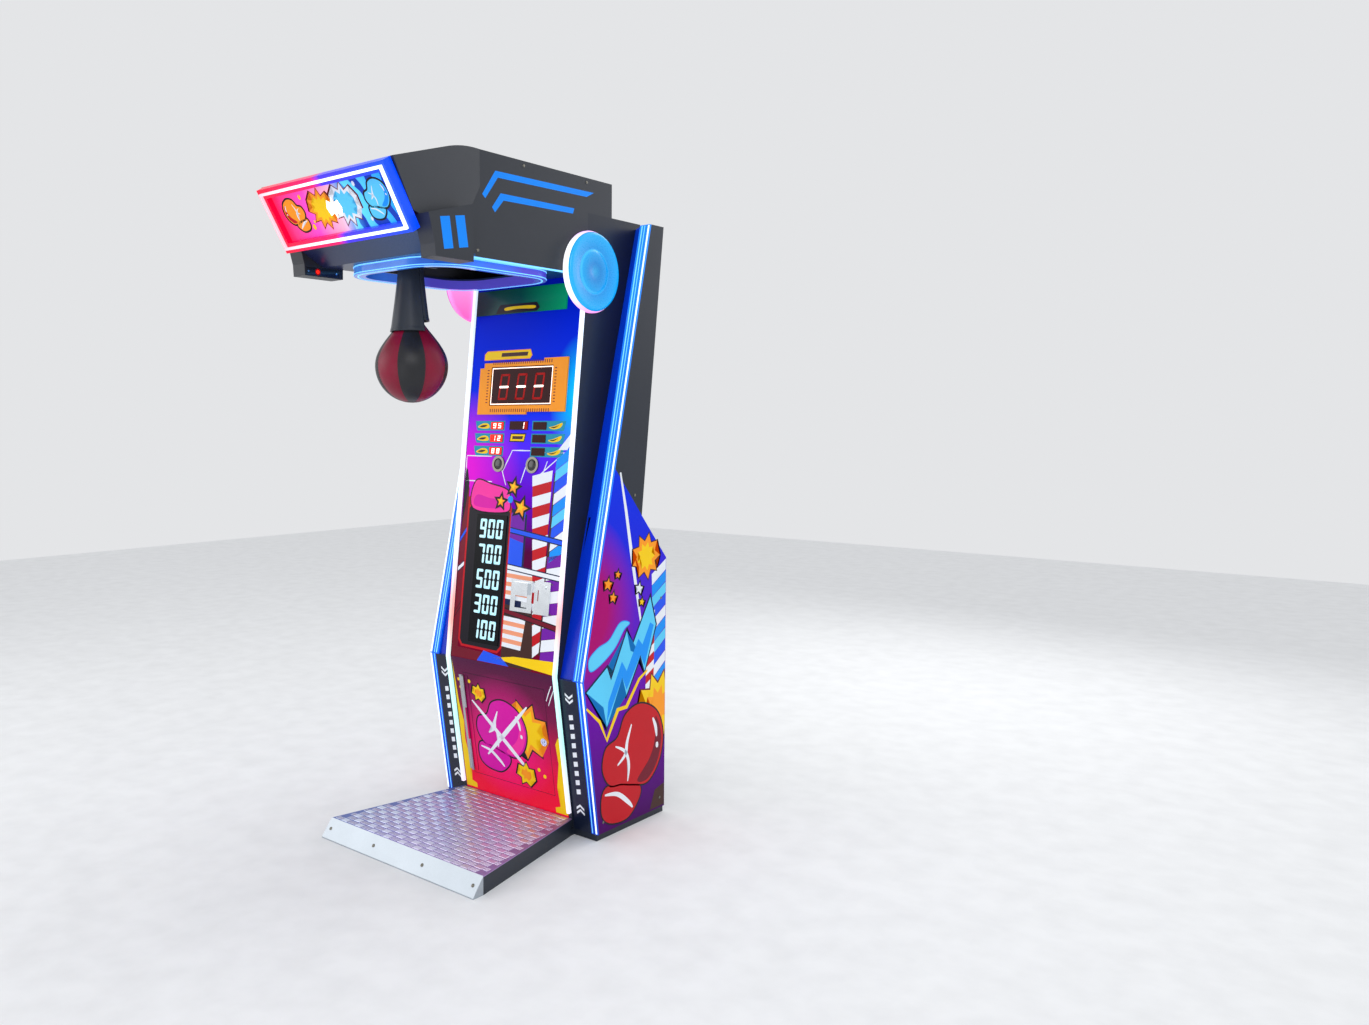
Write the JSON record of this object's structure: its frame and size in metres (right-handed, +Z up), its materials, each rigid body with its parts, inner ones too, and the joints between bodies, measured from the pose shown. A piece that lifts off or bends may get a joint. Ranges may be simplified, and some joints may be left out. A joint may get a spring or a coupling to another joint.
{
  "type": "boxing punch machine",
  "caption": "Free-standing arcade strength tester: leaning cabinet with side fins, an overhanging hood with a swinging punch ball, score face and tread-plate platform.",
  "frame": {"origin": "on the floor, on the centre plane, under the front bottom corner line of the side fins", "axes": "+Z up, +X to the player's right, -Y towards the player"},
  "size_m": [0.745, 1.2466, 2.25],
  "materials": {
    "dark_shell": "satin",
    "dark_board": "satin paint",
    "art_print": "gloss print",
    "score_print": "gloss print",
    "door_print": "gloss print",
    "blue_trim": "lit acrylic",
    "light_tube": "lit silicone",
    "orange_bezel": "gloss",
    "dark_window": "gloss",
    "strip_window": "gloss",
    "steel_frame": "powder coat",
    "bright_metal": "polished",
    "machined_steel": "machined",
    "tread": "embossed",
    "plastic_black": "gloss",
    "board_green": "solder mask",
    "ball_leather": "semi gloss",
    "sleeve_leather": "semi gloss",
    "bumper_rubber": "matt",
    "marquee_print": "lit print",
    "lamp_lens": "lit acrylic",
    "sign_green": "gloss"
  },
  "bodies": {
    "cabinet": {"ball_bumper": "bumper_rubber", "base_board": "dark_board", "button_bezels": "bright_metal", "cash_box": "steel_frame", "coin_mechanism": "plastic_black", "coin_plate": "bright_metal", "column_sides": "dark_board", "column_top_panel": "dark_board", "control_board": "board_green", "digit_module": "plastic_black", "display_bezel": "orange_bezel", "display_windows": "dark_window", "door_hinges": "machined_steel", "edge_light_tubes": "light_tube", "fin_frames": "dark_board", "fin_light_trims": "blue_trim", "frame_masts": "steel_frame", "front_ramp": "tread", "hood_floor_panel": "dark_shell", "hood_frame": "steel_frame", "hood_nose": "dark_shell", "hood_sides": "dark_shell", "hood_top_panel": "dark_shell", "latch_solenoid": "machined_steel", "lower_panel": "door_print", "marquee_frame": "dark_shell", "marquee_light_tube": "light_tube", "marquee_panel": "marquee_print", "pivot_bearings": "machined_steel", "platform_frame": "dark_board", "power_inlet": "plastic_black", "power_supply": "machined_steel", "rear_lower_panel": "dark_board", "rear_upper_panel": "dark_board", "return_cup": "bright_metal", "ring_lamp": "blue_trim", "score_panel": "score_print", "score_strip": "strip_window", "sensor_pods": "dark_shell", "side_art_panels": "art_print", "side_lamp_dishes": "lamp_lens", "side_lamp_rings": "light_tube", "side_upper_panels": "dark_board", "top_sign": "sign_green", "tread_plate": "tread"},
    "punch_arm": {"punch_arm": "steel_frame", "pivot_shaft": "machined_steel", "punch_ball": "ball_leather", "sleeve_front": "sleeve_leather", "sleeve_rear": "sleeve_leather"},
    "latch_hook": {"latch_hook": "machined_steel"},
    "solenoid_plunger": {"solenoid_plunger": "machined_steel"},
    "push_button_left": {"push_button_left": "plastic_black"},
    "push_button_right": {"push_button_right": "plastic_black"},
    "coin_reject_button": {"coin_reject_button": "bright_metal"},
    "return_flap": {"return_flap": "bright_metal"},
    "cash_door": {"cash_door": "door_print"},
    "cash_door_lock": {"cash_door_lock": "bright_metal"},
    "service_door": {"service_door": "dark_board"},
    "service_door_lock": {"service_door_lock": "bright_metal"}
  },
  "joints": [
    {"name": "arm_swing", "type": "hinge", "parent": "cabinet", "child": "punch_arm", "pos_m": [0, -0.488, 1.935], "axis": [1, 0, 0], "range_deg": [0, 72]},
    {"name": "latch_swing", "type": "hinge", "parent": "cabinet", "child": "latch_hook", "pos_m": [0.035, -0.56, 2.01], "axis": [1, 0, 0], "range_deg": [0, 30]},
    {"name": "plunger_slide", "type": "slide", "parent": "cabinet", "child": "solenoid_plunger", "axis": [0, -1, 0], "range_m": [0, 0.0158]},
    {"name": "button_press_right", "type": "slide", "parent": "cabinet", "child": "push_button_right", "axis": [0, 0.9933, -0.1156], "range_m": [0, 0.003], "stiffness_N_per_m": 400},
    {"name": "button_press_left", "type": "slide", "parent": "cabinet", "child": "push_button_left", "axis": [0, 0.9933, -0.1156], "range_m": [0, 0.003], "stiffness_N_per_m": 400},
    {"name": "reject_press", "type": "slide", "parent": "cabinet", "child": "coin_reject_button", "axis": [0, 0.9933, -0.1156], "range_m": [0, 0.004], "stiffness_N_per_m": 300},
    {"name": "flap_swing", "type": "hinge", "parent": "cabinet", "child": "return_flap", "pos_m": [0.08, -0.05961, 0.82103], "axis": [1, 0, 0], "range_deg": [0, 60]},
    {"name": "cash_door_swing", "type": "hinge", "parent": "cabinet", "child": "cash_door", "pos_m": [-0.2, -0.05761, 0.32175], "axis": [0, 0.1513, -0.9885], "range_deg": [0, 100]},
    {"name": "cash_lock_turn", "type": "hinge", "parent": "cash_door", "child": "cash_door_lock", "pos_m": [0.176, -0.05267, 0.3225], "axis": [0, -0.9885, -0.1513], "range_deg": [0, 90]},
    {"name": "service_door_swing", "type": "hinge", "parent": "cabinet", "child": "service_door", "pos_m": [-0.2, 0.395, 0.45], "axis": [0, 0, 1], "range_deg": [0, 110]},
    {"name": "service_lock_turn", "type": "hinge", "parent": "service_door", "child": "service_door_lock", "pos_m": [0.176, 0.39, 0.455], "axis": [0, -1, 0], "range_deg": [0, 90]}
  ],
  "couplings": [
    {"joint": "plunger_slide", "follows": "latch_swing", "m_per_rad": 0.03}
  ]
}
